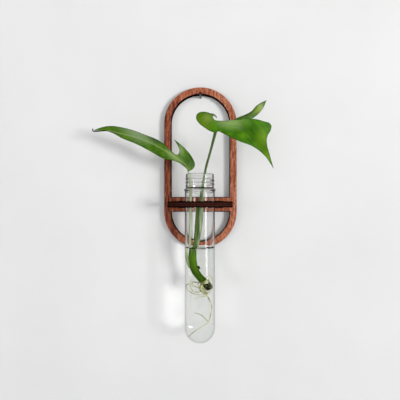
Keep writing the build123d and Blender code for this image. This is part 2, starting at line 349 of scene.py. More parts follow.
def sapele_veneer(name, grain_axis):
    """Oiled sapele: fine straight streaks of pink, red-brown and tan, dark pores and a soft shine."""
    material, add, place = new_material(name)

    def grain(width, length, detail, roughness):
        """Noise whose grains are width across and length along the wood, in millimetres."""
        scale = [1 / (width * MM)] * 3
        scale[grain_axis] = 1 / (length * MM)
        along = add("Mapping", {"Vector": place, "Scale": scale})
        return add(
            "TexNoise", {"Vector": along, "Scale": 1.0, "Detail": detail, "Roughness": roughness}
        )

    streaks = grain(1.1, 9.0, 4.0, 0.7)
    across = add("SeparateXYZ", [place]).outputs["X"]
    # Painted shade: the veneer is drawn darker towards the left, away from the window light on the
    # right.
    painted_left_shade = add("MapRange", [across, -10 * MM, -28 * MM, 0.02, -0.09])
    shade = add("Math", [streaks, painted_left_shade], operation="ADD")
    tone = add(
        "ValToRGB", {"Fac": shade},
        [(0.30, "#55200f"), (0.42, "#8e4226"), (0.52, "#b56542"), (0.62, "#cb8b6c"), (0.74, "#b87a42")],
    )
    # Real pores are 0.2 mm wide. These are 0.8 mm wide, or they would vanish at the photo's size.
    pores = grain(0.8, 2.6, 2.0, 0.5)
    pore_mask = add("ValToRGB", {"Fac": pores}, [(0.54, "#000000"), (0.66, "#ffffff")])
    pore_share = add("Math", [pore_mask, 0.7], operation="MULTIPLY")
    veneer = add("Mix", {0: pore_share, 6: tone, 7: "#481a10"}, data_type="RGBA")
    scorch = add("Attribute", attribute_name="scorch").outputs["Fac"]
    uneven = add("Math", [streaks, 0.45], operation="MULTIPLY")
    burnt = add("Math", [scorch, uneven], operation="SUBTRACT")
    burnt_share = add("MapRange", [burnt, 0.0, 0.45, 0.0, 0.97])
    scorched = add("Mix", {0: burnt_share, 6: veneer, 7: "#0e0403"}, data_type="RGBA")
    relief = add("Bump", {"Height": pore_mask, "Strength": 0.25, "Distance": 0.1 * MM}, invert=True)
    shine = add("MapRange", [streaks, 0.0, 1.0, 0.42, 0.62])
    return finish_material(
        material, "BsdfPrincipled",
        {"Base Color": scorched, "Roughness": shine, "Normal": relief, "Specular IOR Level": 0.35},
    )


def charred_edge(name, stack_axis, first_ply, ply):
    """Laser-cut plywood edge: near-black char, browner where the plies between the glue lines end."""
    material, add, place = new_material(name)
    stacked = add("SeparateXYZ", [place]).outputs[stack_axis]
    depth = add("MapRange", [stacked, first_ply * MM, (first_ply + sheet) * MM])
    plies = add(
        "ValToRGB", {"Fac": depth},
        [
            (0.00, "#080202"), (0.16, "#0c0403"), (0.26, ply), (0.42, ply),
            (0.50, "#160807"), (0.58, ply), (0.74, ply), (0.84, "#0c0403"), (1.00, "#080202"),
        ],
    )
    soot = add("TexNoise", {"Vector": place, "Scale": 1 / (1.4 * MM), "Detail": 5.0})
    soot_mask = add("ValToRGB", {"Fac": soot}, [(0.40, "#000000"), (0.66, "#ffffff")])
    soot_share = add("Math", [soot_mask, 0.5], operation="MULTIPLY")
    char = add("Mix", {0: soot_share, 6: plies, 7: "#120605"}, data_type="RGBA")
    relief = add("Bump", {"Height": soot, "Strength": 0.3, "Distance": 0.15 * MM})
    return finish_material(
        material, "BsdfPrincipled",
        {"Base Color": char, "Roughness": 0.9, "Normal": relief, "Specular IOR Level": 0.0},
    )


def trace(bm, start, *moves):
    """Closed outline on the sheet. A move is a corner to go to, or a centre and an angle to swing."""
    first = bm.verts.new((start[0] * MM, start[1] * MM, 0))
    last = first
    for move in moves:
        if len(move) == 2:
            corner = bm.verts.new((move[0] * MM, move[1] * MM, 0))
            bm.edges.new((last, corner))
            last = corner
        else:
            swung = bmesh.ops.spin(
                bm, geom=[last], axis=(0, 0, 1), cent=(move[0] * MM, move[1] * MM, 0),
                angle=math.radians(move[2]), steps=max(1, round(arc_steps * abs(move[2]) / 180)),
            )
            last = [part for part in swung["geom_last"] if isinstance(part, bmesh.types.BMVert)][0]
    bm.edges.new((last, first))


def cut_from_sheet(bm):
    """Fill the traced outlines, raise them to the sheet, mark the scorched border, ease the edges."""
    bmesh.ops.remove_doubles(bm, verts=bm.verts, dist=weld)
    bmesh.ops.triangle_fill(bm, edges=bm.edges, use_beauty=True)
    bmesh.ops.recalc_face_normals(bm, faces=bm.faces)
    raised = bmesh.ops.extrude_face_region(bm, geom=bm.faces)
    top = [part for part in raised["geom"] if isinstance(part, bmesh.types.BMVert)]
    bmesh.ops.translate(bm, verts=top, vec=(0, 0, sheet * MM))
    bmesh.ops.recalc_face_normals(bm, faces=bm.faces)
    for up in (1, -1):
        flat = [face for face in bm.faces if face.normal.z * up > 0.5]
        bmesh.ops.inset_region(bm, faces=flat, thickness=scorch_w * MM, use_even_offset=True)
    rims = [edge for edge in bm.edges if edge.calc_face_angle(0) > math.radians(30)]
    bmesh.ops.bevel(
        bm, geom=rims, offset=edge_round * MM, offset_type="OFFSET", segments=2, profile=0.5,
        affect="EDGES", material=-1,
    )
    scorch = bm.verts.layers.float.new("scorch")
    for face in bm.faces:
        if abs(face.normal.z) < 0.999:
            face.material_index = 1
            for vert in face.verts:
                vert[scorch] = 1.0


def near_outside(place):
    """Whether a place on the flat frame is in the sanded border along its outside edge."""
    up = place.y / MM
    return math.hypot(place.x / MM, up - min(upper_z, max(lower_z, up))) > frame_w / 2 - sanded_w


bm = bmesh.new()
trace(bm, (frame_w / 2, upper_z), (0, upper_z, 180), (-frame_w / 2, lower_z), (0, lower_z, 180))
window_foot = lower_z + crossbar_h
trace(bm, (arch_r, upper_z), (0, upper_z, 180), (-arch_r, window_foot), (arch_r, window_foot))
trace(bm, (-arch_r, lower_z), (0, lower_z, 180))
slot_half_w = tab_w / 2 + slot_gap
slot_low = shelf_low.z - slot_gap
slot_high = shelf_high.z + slot_gap
for side in (-1, 1):
    middle = side * tab_spacing / 2
    trace(
        bm, (middle - slot_half_w, slot_low), (middle + slot_half_w, slot_low),
        (middle + slot_half_w, slot_high), (middle - slot_half_w, slot_high),
    )
cut_from_sheet(bm)
# The outside edge was sanded back, so its rounding is bare wood and its scorched border faint.
scorch = bm.verts.layers.float["scorch"]
for vert in bm.verts:
    if near_outside(vert.co):
        vert[scorch] = sanded_scorch
for face in bm.faces:
    if abs(face.normal.z) > 0.3 and near_outside(face.calc_center_median()):
        face.material_index = 0
bmesh.ops.rotate(bm, verts=bm.verts, matrix=Matrix.Rotation(math.radians(90), 3, "X"))
frame_faces = [
    sapele_veneer("oiled_sapele_face_upright", 2),
    charred_edge("charred_cut_edge_frame", "Y", -sheet, "#22100b"),
]
add_piece("frame_plywood", bm, frame_faces, "holder", "frame", crease=35)


# Shelf: cut from the same plywood, with a round front and a hole for the tube. Its two tabs are
# glued into slots in the frame's crossbar and end flush with the frame's back.

shelf_half_w = (shelf_high.x - shelf_low.x) / 2
arc_y = shelf_low.y + shelf_half_w
tab_out = tab_spacing / 2 + tab_w / 2
tab_in = tab_spacing / 2 - tab_w / 2
tube_out = 24.0
tube_r = 12.5
tube_gap = 0.05

bm = bmesh.new()
trace(
    bm, (-shelf_half_w, arc_y), (0, arc_y, 180), (shelf_half_w, -sheet),
    (tab_out, -sheet), (tab_out, 0), (tab_in, 0), (tab_in, -sheet),
    (-tab_in, -sheet), (-tab_in, 0), (-tab_out, 0), (-tab_out, -sheet), (-shelf_half_w, -sheet),
)
# The hole swings a degree short of a full turn, and closing its outline makes the last edge.
trace(bm, (tube_r + tube_gap, -tube_out), (0, -tube_out, 180), (0, -tube_out, 179))
cut_from_sheet(bm)
bmesh.ops.translate(bm, verts=bm.verts, vec=(0, 0, shelf_low.z * MM))
shelf_faces = [
    sapele_veneer("oiled_sapele_face_flat", 0),
    charred_edge("charred_cut_edge_shelf", "Z", shelf_low.z, "#42241e"),
]
add_piece("shelf_plywood", bm, shelf_faces, "holder", "shelf", crease=35)


# Test tube: clear borosilicate glass, drawn as tubing, with a blown round bottom, a fire-polished
# lip, a screw thread and a bead that keeps it from dropping through the shelf.

tube_low, tube_high = (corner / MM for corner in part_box("test_tube"))
mouth_z = tube_high.z
tube_wall = 1.3
bore_r = tube_r - tube_wall
neck_r = 11.7
neck_wall = 1.4
neck_bore_r = neck_r - neck_wall
neck_len = 12.6
lip_r = neck_wall / 2
lip_z = mouth_z - lip_r
bead_r = 13.1
bead_h = 1.8
bead_round = 1.2
bead_top_z = mouth_z - neck_len
bead_low_z = bead_top_z - bead_h
bead_mid_z = bead_low_z + bead_round * math.sin(math.radians(60))
neck_foot_z = bead_mid_z + bead_round
groove_z = neck_foot_z + 0.3
round_z = tube_low.z + tube_r
thread_h = 0.5
thread_half_w = 0.62
thread_pitch = 3.0
thread_turns = 2.6
thread_start = 2.6
draw_line_w = 3.0
draw_line_len = 60.0
around = 144
neck_rows = 90
row_gap = 0.5
row_h = 4.0


def finish_clear(material, body, middle, rim):
    """Finish a clear body that lets daylight straight through, more in its middle than at its rim."""
    add = partial(add_node, material)
    facing = add("LayerWeight", {"Blend": 0.5}).outputs["Facing"]
    tone = add("MapRange", [facing, 0.15, 0.8, middle, rim])
    clear = add("BsdfTransparent", {"Color": tone})
    ray = add("LightPath").outputs
    lit = add("Math", [ray["Is Shadow Ray"], ray["Is Diffuse Ray"]], operation="MAXIMUM")
    return finish_material(material, "MixShader", [lit, body, clear])


def clear_glass():
    """Drawn borosilicate glass: clear, smooth, with faint draw lines and a painted dark line in the
    bead's groove.
    """
    material, add, place = new_material("drawn_borosilicate_glass")
    scale = (1 / (draw_line_w * MM), 1 / (draw_line_w * MM), 1 / (draw_line_len * MM))
    lines = add("Mapping", {"Vector": place, "Scale": scale})
    draw_lines = add("TexNoise", {"Vector": lines, "Scale": 1.0, "Detail": 2.0})
    relief = add("Bump", {"Height": draw_lines, "Strength": 0.12, "Distance": 0.2 * MM})
    # Painted shade: a dark line along the groove above the bead stands in for the dark shelf seen bent
    # through the bead.
    up = add("SeparateXYZ", [place]).outputs["Z"]
    from_groove = add("Math", [up, -groove_z * MM], operation="ADD")
    nearby = add("Math", [from_groove], operation="ABSOLUTE")
    groove_painted_shade = add("MapRange", [nearby, 0.35 * MM, 0.8 * MM, 1.0, 0.0])
    tone = add("Mix", {0: groove_painted_shade, 6: "#ffffff", 7: "#20241e"}, data_type="RGBA")
    glass = add(
        "BsdfPrincipled",
        {
            "Base Color": tone, "Roughness": 0.0, "IOR": 1.47,
            "Transmission Weight": 1.0, "Normal": relief,
        },
    )
    return finish_clear(material, glass, 1.0, 0.7)


def arc_points(centre, radius, first, last, steps):
    """Points on an arc of the half section, by radius from the axis and height; angles in degrees."""
    points = []
    for step in range(steps + 1):
        angle = math.radians(first + (last - first) * step / steps)
        points.append((centre[0] + radius * math.cos(angle), centre[1] + radius * math.sin(angle)))
    return points


def wall_points(radius, first_z, last_z):
    """Points up or down a straight wall, close enough for its shading to stay straight."""
    rows = max(2, round(abs(last_z - first_z) / row_h))
    return [(radius, first_z + (last_z - first_z) * row / rows) for row in range(rows + 1)]


def raise_thread(vert):
    """Lift a point of the neck's outer wall where the screw thread's ridge runs over it."""
    right, front = vert.co.x / MM, vert.co.y / MM + tube_out
    drop = mouth_z - vert.co.z / MM
    if math.hypot(right, front) < neck_r - 0.01 or drop < lip_r or drop > neck_len:
        return
    turn = math.atan2(front, right) / math.tau
    for winding in range(-1, math.ceil(thread_turns) + 2):
        along = turn + winding
        away = abs(drop - thread_start - along * thread_pitch)
        if 0 <= along <= thread_turns and away < thread_half_w:
            # The ridge rises and ends over an eighth of a turn.
            fade = min(1.0, 8 * along, 8 * (thread_turns - along))
            ridge = thread_h * fade * math.cos(away / thread_half_w * math.pi / 2) ** 1.2
            vert.co += Vector((right, front, 0)).normalized() * ridge * MM


section = arc_points((0, round_z), bore_r, -90, 0, 24)
section += wall_points(bore_r, round_z + row_gap, bead_low_z - bead_h - row_gap)
section += [(bore_r, bead_low_z - bead_h), (neck_bore_r, bead_top_z)]
section += wall_points(neck_bore_r, bead_top_z + row_gap, lip_z - row_gap)
section += arc_points((neck_bore_r + lip_r, lip_z), lip_r, 180, 0, 12)
section += [(neck_r, lip_z + (neck_foot_z - lip_z) * row / neck_rows) for row in range(1, neck_rows + 1)]
section += arc_points((bead_r - bead_round, bead_mid_z), bead_round, 80, -60, 16)
section += wall_points(tube_r, bead_low_z - row_gap, round_z + row_gap)
section += arc_points((0, round_z), tube_r, 0, -90, 28)
bm = spin_outline(section, tube_out, around)
for vert in bm.verts:
    raise_thread(vert)
add_piece("test_tube_glass", bm, [clear_glass()], "tube", "test_tube")


# Water: fills the tube to a bit over half, and creeps up the glass a little at its edge. It meets
# the glass all round, so its outline is drawn a hair inside the wall's thickness.

water_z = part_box("water")[1].z / MM
creep_h = 0.9
creep_w = 1.8
creep_steps = 8
creep_gap = 0.4
water_overlap = 0.06
fill_r = bore_r + water_overlap


def clear_water():
    """Tap water: clear, with a breath of green where it is deep, and a faint swell."""
    material, add, place = new_material("clear_tap_water")
    swell = add("TexNoise", {"Vector": place, "Scale": 1 / (9 * MM), "Detail": 1.0})
    relief = add("Bump", {"Height": swell, "Strength": 0.05, "Distance": 0.3 * MM})
    water = add(
        "BsdfPrincipled",
        {
            "Base Color": "#fdfffc", "Roughness": 0.0, "IOR": 1.333,
            "Transmission Weight": 1.0, "Normal": relief,
        },
    )
    return finish_clear(material, water, 1.25, 0.6)


section = arc_points((0, round_z), fill_r, -90, 0, 24)
section += wall_points(fill_r, round_z + row_gap, water_z + creep_h - creep_gap)
for step in range(creep_steps + 1):
    share = 1 - step / creep_steps
    section.append((fill_r - creep_w * (1 - share), water_z + creep_h * share ** 2.2))
section.append((0, water_z))
bm = spin_outline(section, tube_out, around)
add_piece("tube_water", bm, [clear_water()], "tube", "water", crease=50)


# Cutting's stalks: an arrowhead vine's green cane with a slim stalk up to each leaf. They are grown
# in one piece, smooth and faintly ribbed, and hang free in the tube's mouth and water.

mouth = Vector((0, -tube_out, mouth_z))
tube_len = mouth_z - tube_low.z
rib_w = 1.1
rib_len = 16.0
curve_weld = 0.002 * MM


def near_mouth(right, front, up):
    """Place from the middle of the mouth, in millimetres, with the front towards the room."""
    return mouth + Vector((right, -front, up))


def in_tube(right, front, drop):
    """Place in the tube: right and front in parts of the neck's bore, drop in parts of its length."""
    return near_mouth(right * neck_bore_r, front * neck_bore_r, -drop * tube_len)


def knots_in_tube(*rows):
    """Knots of a stalk in the tube, from rows of their places there and their radius."""
    return [(in_tube(*place), radius) for *place, radius in rows]


def take_shape(bm, curve):
    """Add the shape that a curve fills to a bmesh, and remove the curve."""
    line = bpy.data.objects.new(curve.name, curve)
    mesh = bpy.data.meshes.new_from_object(line)
    bm.from_mesh(mesh)
    bpy.data.meshes.remove(mesh)
    bpy.data.objects.remove(line)
    bpy.data.curves.remove(curve)


def grow_stalk(bm, knots):
    """Round stalk on a smooth line that is drawn towards each knot's place, with its radius there."""
    curve = bpy.data.curves.new("stalk_line", "CURVE")
    curve.dimensions = "3D"
    curve.bevel_depth = MM
    curve.bevel_resolution = 5
    curve.resolution_u = 10
    curve.use_fill_caps = True
    spline = curve.splines.new("NURBS")
    spline.points.add(len(knots) - 1)
    for point, (place, radius) in zip(spline.points, knots):
        point.co = (*(place * MM), 1)
        point.radius = radius
    spline.order_u = 3
    spline.use_endpoint_u = True
    take_shape(bm, curve)


def grow_piece(name, stalks, skin, node=None, crease=50):
    """Piece of the cutting that is one or more round stalks, with their end caps joined on."""
    bm = bmesh.new()
    for knots in stalks:
        grow_stalk(bm, knots)
    bmesh.ops.remove_doubles(bm, verts=bm.verts, dist=curve_weld)
    bmesh.ops.recalc_face_normals(bm, faces=bm.faces)
    add_piece(name, bm, [skin], "cutting", node, crease)


def green_stalk(name, dark, pale, bands, roughness):
    """Smooth skin in long light and dark ribs, softly shining, with other tones in height bands, some of
    them painted shade.
    """
    material, add, place = new_material(name)
    scale = (1 / (rib_w * MM), 1 / (rib_w * MM), 1 / (rib_len * MM))
    along = add("Mapping", {"Vector": place, "Scale": scale})
    ribs = add("TexNoise", {"Vector": along, "Scale": 1.0, "Detail": 3.0})
    skin = add("ValToRGB", {"Fac": ribs}, [(0.34, dark), (0.66, pale)])
    up = add("SeparateXYZ", [place]).outputs["Z"]
    for start_z, full_z, share, band_tone in bands:
        reach = add("MapRange", [up, start_z * MM, full_z * MM, 0.0, share])
        skin = add("Mix", {0: reach, 6: skin, 7: band_tone}, data_type="RGBA")
    relief = add("Bump", {"Height": ribs, "Strength": 0.25, "Distance": 0.15 * MM})
    return finish_material(
        material, "BsdfPrincipled",
        {
            "Base Color": skin, "Roughness": roughness, "Specular IOR Level": 0.03, "Normal": relief,
            "Subsurface Weight": 0.15, "Subsurface Radius": (1.0, 1.0, 0.4),
            "Subsurface Scale": 1.0 * MM,
        },
    )


cane_knots = knots_in_tube(
    (-0.18, -0.14, 0.164, 1.3), (-0.24, -0.16, 0.264, 1.5), (-0.31, -0.17, 0.357, 1.65),
    (-0.4, -0.17, 0.436, 2.2), (-0.45, -0.17, 0.507, 2.45), (-0.33, -0.14, 0.568, 2.5),
    (-0.02, -0.04, 0.611, 2.45), (0.29, 0.1, 0.636, 2.6),
)
# Under water the cane turns a deeper green. Darker still towards its foot is painted shade.
cane_bands_and_shade = [(water_z, water_z - 8, 0.85, "#4a7200"), (water_z - 9, water_z - 22, 0.8, "#2f4c02")]
skin = green_stalk("living_green_cane", "#2f4614", "#6f8a48", cane_bands_and_shade, 0.45)
grow_piece("cane_stem", [cane_knots], skin, "cane")

left_stalk_knots = [(near_mouth(-9.8, -0.4, 3.2), 1.0)]
left_stalk_knots += knots_in_tube(
    (-0.84, 0, 0, 1.05), (-0.78, 0.04, 0.057, 1.15), (-0.76, 0, 0.136, 1.2),
    (-0.79, -0.04, 0.229, 1.2), (-0.81, -0.1, 0.329, 1.2), (-0.82, -0.16, 0.429, 1.1),
    (-0.8, -0.2, 0.5, 1.0), (-0.54, -0.18, 0.555, 1.2),
)
right_stalk_knots = [
    (near_mouth(12.8, 8.0, 33.35), 1.3),
    (near_mouth(9.62, 4.5, 21.0), 0.95),
    (near_mouth(5.0, 1.17, 5.69), 1.0),
]
right_stalk_knots += knots_in_tube(
    (0.34, 0.03, 0.029, 1.05), (0.14, -0.05, 0.1, 1.3), (0.1, -0.08, 0.2, 2.0),
    (0.04, -0.08, 0.3, 1.85), (-0.1, -0.1, 0.38, 1.4), (-0.28, -0.13, 0.45, 0.9),
)
left_bands = [(water_z, water_z - 8, 0.85, "#7d9448")]
right_bands = [(mouth_z - 6, mouth_z + 6, 0.8, "#3c5018")]
stalks = (
    ("left_leaf_stalk", "left_petiole", left_stalk_knots, "#87966e", "#cdd6bc", left_bands),
    ("right_leaf_stalk", "right_petiole", right_stalk_knots, "#44602a", "#a3b590", right_bands),
)
for name, node, knots, dark, pale, bands in stalks:
    skin = green_stalk("living_" + name, dark, pale, bands, 0.4)
    grow_piece(name, [knots], skin, node)


# Foot of the cutting: the old end of the cane, dried almost black and cut off, below a pale collar
# that the roots grow from, and the small dark bud on the inside of the bend.

cane_end_r = 2.85
cane_end_len = 7.4
collar_len = 2.6
collar_swell = 0.35
collar_overlap = 1.0
bud_r = 1.5
bud_place = near_mouth(-1.55, -1.40, -77.3)
bud_way = Vector((0.8, 0, -0.6))
foot = cane_knots[-1][0]
foot_way = Vector((0.53, -0.08, -0.84)).normalized()


def old_bark():
    """Old stem skin, corky and almost black, with the yellow-green flesh showing in streaks."""
    material, add, place = new_material("old_corky_stem")
    streaks = add("TexNoise", {"Vector": place, "Scale": 1 / (1.3 * MM), "Detail": 4.0})
    tone = add(
        "ValToRGB", {"Fac": streaks},
        [(0.40, "#0c0e05"), (0.52, "#20280a"), (0.61, "#4a561a"), (0.73, "#8c9446")],
    )
    relief = add("Bump", {"Height": streaks, "Strength": 0.5, "Distance": 0.3 * MM})
    return finish_material(
        material, "BsdfPrincipled",
        {"Base Color": tone, "Roughness": 0.75, "Specular IOR Level": 0.02, "Normal": relief},
    )


def turned(outline, radius, length, start, way):
    """Round piece from its half outline, in shares of its radius and length, on its start and way."""
    bm = spin_outline([(across * radius, along * length) for across, along in outline])
    set_on(bm, start, way)
    return bm


end_outline = [
    (0, 0), (0.72, 0), (0.90, 0.10), (0.99, 0.28), (1.0, 0.50), (0.93, 0.74), (0.78, 0.91),
    (0.60, 0.99), (0.48, 0.98), (0.40, 0.92), (0, 0.90),
]
bm = turned(end_outline, cane_end_r, cane_end_len, foot, foot_way)
add_piece("cane_end_bark", bm, [old_bark()], "cutting", "cane_end", crease=50)

collar_outline = [(0, 0), (0.80, 0), (0.96, 0.2), (1.0, 0.5), (0.96, 0.8), (0.86, 1.0), (0, 1.0)]
collar_foot = foot - foot_way * collar_overlap
bm = turned(collar_outline, cane_end_r + collar_swell, collar_len, collar_foot, foot_way)
skin = green_stalk("living_root_collar", "#5d6630", "#a3a870", [], 0.5)
add_piece("cane_root_collar", bm, [skin], "cutting")

bud_outline = [(0, -0.8), (0.6, -0.7), (1.0, -0.1), (0.95, 0.4), (0.6, 0.95), (0.25, 1.35), (0, 1.5)]
bm = turned(bud_outline, bud_r, bud_r, bud_place, bud_way)
add_piece("side_bud_scales", bm, [old_bark()], "cutting", "side_bud")


# Roots: young water roots, thin, pale and a little clear, that curl round the foot of the cane,
# and one longer root that hangs to the bottom of the tube.

root_r = 0.34
root_tip_r = 0.2
curled_roots = [
    [
        (0.16, 0, 0.63), (-0.21, 0.1, 0.642), (-0.48, 0.1, 0.63), (-0.46, 0.05, 0.654),
        (-0.27, 0, 0.665), (-0.05, 0, 0.673), (0.13, 0, 0.692), (0.34, 0, 0.707),
    ],
    [
        (-0.27, -0.1, 0.665), (-0.51, -0.1, 0.653), (-0.75, -0.05, 0.65), (-0.91, 0, 0.664),
        (-0.85, 0.05, 0.681), (-0.6, 0.05, 0.696), (-0.3, 0, 0.709), (0.04, 0, 0.714),
        (0.34, 0, 0.713), (0.58, 0, 0.698),
    ],
    [
        (0.22, -0.1, 0.627), (0.01, -0.1, 0.651), (-0.01, 0, 0.681), (0.16, 0.05, 0.703),
        (0.4, 0.1, 0.709), (0.64, 0.1, 0.695), (0.79, 0.1, 0.669),
    ],
    [
        (0.37, 0.15, 0.639), (0.4, 0.2, 0.615), (0.52, 0.2, 0.597), (0.7, 0.15, 0.602),
        (0.82, 0.05, 0.627), (0.84, 0, 0.657), (0.76, 0, 0.681),
    ],
    [
        (0.13, 0.1, 0.627), (-0.14, 0.15, 0.644), (-0.11, 0.2, 0.663), (0.04, 0.2, 0.69),
        (0.28, 0.2, 0.701), (0.52, 0.2, 0.7),
    ],
    [
        (0.34, 0, 0.681), (0.04, -0.2, 0.698), (-0.33, -0.2, 0.7), (-0.54, -0.2, 0.678),
        (-0.58, -0.2, 0.651), (-0.51, -0.15, 0.629),
    ],
    [
        (0.19, -0.2, 0.639), (0.1, -0.2, 0.669), (0.25, -0.2, 0.695), (0.49, -0.1, 0.715),
        (0.28, 0, 0.722), (-0.08, 0, 0.724), (-0.36, 0, 0.738),
    ],
    [(0.27, 0.2, 0.632), (0.15, 0.25, 0.654), (0.17, 0.3, 0.681), (0.37, 0.3, 0.696)],
    [
        (0.18, 0.2, 0.64), (0.04, 0.25, 0.652), (0.1, 0.3, 0.672), (0.28, 0.3, 0.68),
        (0.22, 0.25, 0.66),
    ],
    [
        (0.3, -0.25, 0.655), (0.18, -0.3, 0.672), (0.24, -0.25, 0.692), (0.44, -0.2, 0.706),
        (0.62, -0.1, 0.7),
    ],
    [
        (0.1, 0.1, 0.645), (-0.06, 0.15, 0.662), (0.03, 0.15, 0.684), (0.22, 0.1, 0.697),
        (0.4, 0.1, 0.69),
    ],
]
long_roots = [
    [
        (0.31, 0, 0.645), (0.34, 0, 0.687), (0.43, -0.05, 0.719), (0.57, -0.1, 0.746),
        (0.69, -0.1, 0.776), (0.7, -0.1, 0.805), (0.62, -0.06, 0.841), (0.54, -0.04, 0.865),
        (0.52, -0.04, 0.876), (0.28, -0.02, 0.889), (0.04, 0, 0.904), (-0.27, 0.03, 0.924),
        (-0.54, 0.05, 0.942), (-0.75, 0.06, 0.956),
    ],
    [(0.52, -0.04, 0.876), (0.25, 0, 0.844), (-0.02, 0.08, 0.823), (-0.33, 0.1, 0.817)],
]
long_tip_z = in_tube(*long_roots[0][-1]).z


def root_skin():
    """Young root: pale yellow-green to grey-green, brown at the long one's tip, and a little clear."""
    material, add, place = new_material("young_water_root")
    patches = add("TexNoise", {"Vector": place, "Scale": 1 / (3.5 * MM), "Detail": 4.0})
    tone = add(
        "ValToRGB", {"Fac": patches},
        [(0.36, "#6a6638"), (0.46, "#96945a"), (0.58, "#bdbf82"), (0.72, "#d8dab0")],
    )
    up = add("SeparateXYZ", [place]).outputs["Z"]
    tipward = add("MapRange", [up, (long_tip_z + 6) * MM, (long_tip_z + 2) * MM, 0.0, 0.8])
    skin = add("Mix", {0: tipward, 6: tone, 7: "#8d735a"}, data_type="RGBA")
    relief = add("Bump", {"Height": patches, "Strength": 0.3, "Distance": 0.2 * MM})
    return finish_material(
        material, "BsdfPrincipled",
        {
            "Base Color": skin, "Roughness": 0.4, "Specular IOR Level": 0.05, "Normal": relief,
            "Subsurface Weight": 0.4, "Subsurface Radius": (1.0, 0.9, 0.5),
            "Subsurface Scale": 0.5 * MM,
        },
    )


skin = root_skin()
tangles = (("curled_roots", "roots", curled_roots), ("hanging_root", "long_root", long_roots))
for name, node, routes in tangles:
    roots = []
    for route in routes:
        thinner = (root_r - root_tip_r) / (len(route) - 1)
        roots.append([(in_tube(*place), root_r - thinner * step) for step, place in enumerate(route)])
    grow_piece(name, roots, skin, node)


# Leaves: thin arrowhead blades with a waxed green skin and a fine midrib. Each grows on from its
# stalk. The left one is long with one lobe like a horn, the right one broad with a lobe behind it.

leaf_t = 0.5
leaf_cell = 1.1
leaf_streak_w = 2.4
leaf_streak_len = 11.0
side_vein_gap = 4.0
side_vein_lean = 1.3
midrib_ridge = 0.25
midrib_w = 0.6
blade_cup = 0.03
painted_sheen = "#a2ba78"
yellow_green = "#7c9a16"


def cut_leaf(base, length, *runs):
    """Flat blade, seen from the front, inside smooth runs of points in parts of the leaf's length."""
    bm = bmesh.new()
    curve = bpy.data.curves.new("leaf_edge", "CURVE")
    curve.dimensions = "2D"
    curve.fill_mode = "FRONT"
    curve.resolution_u = 8
    spline = curve.splines.new("BEZIER")
    places = [place for run in runs for place in run[:-1]]
    corners = [run[0] for run in runs]
    spline.bezier_points.add(len(places) - 1)
    spline.use_cyclic_u = True
    for knot, place in zip(spline.bezier_points, places):
        knot.co = ((base.x + place[0] * length) * MM, (base.z + place[1] * length) * MM, 0)
        knot.handle_left_type = knot.handle_right_type = "VECTOR" if place in corners else "AUTO"
    take_shape(bm, curve)
    bmesh.ops.remove_doubles(bm, verts=bm.verts, dist=curve_weld)
    bmesh.ops.rotate(bm, verts=bm.verts, matrix=Matrix.Rotation(math.radians(90), 3, "X"))
    bmesh.ops.dissolve_limit(bm, angle_limit=0.001, verts=[], edges=bm.edges[:])
    for axis in (0, 2):
        low = min(vert.co[axis] for vert in bm.verts)
        high = max(vert.co[axis] for vert in bm.verts)
        rows = math.ceil((high - low) / (leaf_cell * MM))
        across = Vector((0, 0, 0))
        across[axis] = 1.0
        for row in range(1, rows):
            bmesh.ops.bisect_plane(
                bm, geom=bm.verts[:] + bm.edges[:] + bm.faces[:],
                plane_co=across * (low + (high - low) * row / rows), plane_no=across,
            )
    return bm


def beside_vein(vein, base, length, place):
    """How far along a vein and how far beside it a place is, in millimetres, seen from the front."""
    here = Vector((place.x / MM - base.x, place.z / MM - base.z))
    line = [Vector(point) * length for point in vein]
    run = 0.0
    nearest = None
    for start, end in zip(line, line[1:]):
        way = end - start
        share = min(1.0, max(0.0, (here - start).dot(way) / way.length_squared))
        gap = here - start - way * share
        side = 1 if way.x * gap.y - way.y * gap.x > 0 else -1
        if nearest is None or gap.length < abs(nearest[1]):
            nearest = (run + share * way.length, side * gap.length)
        run += way.length
    return nearest


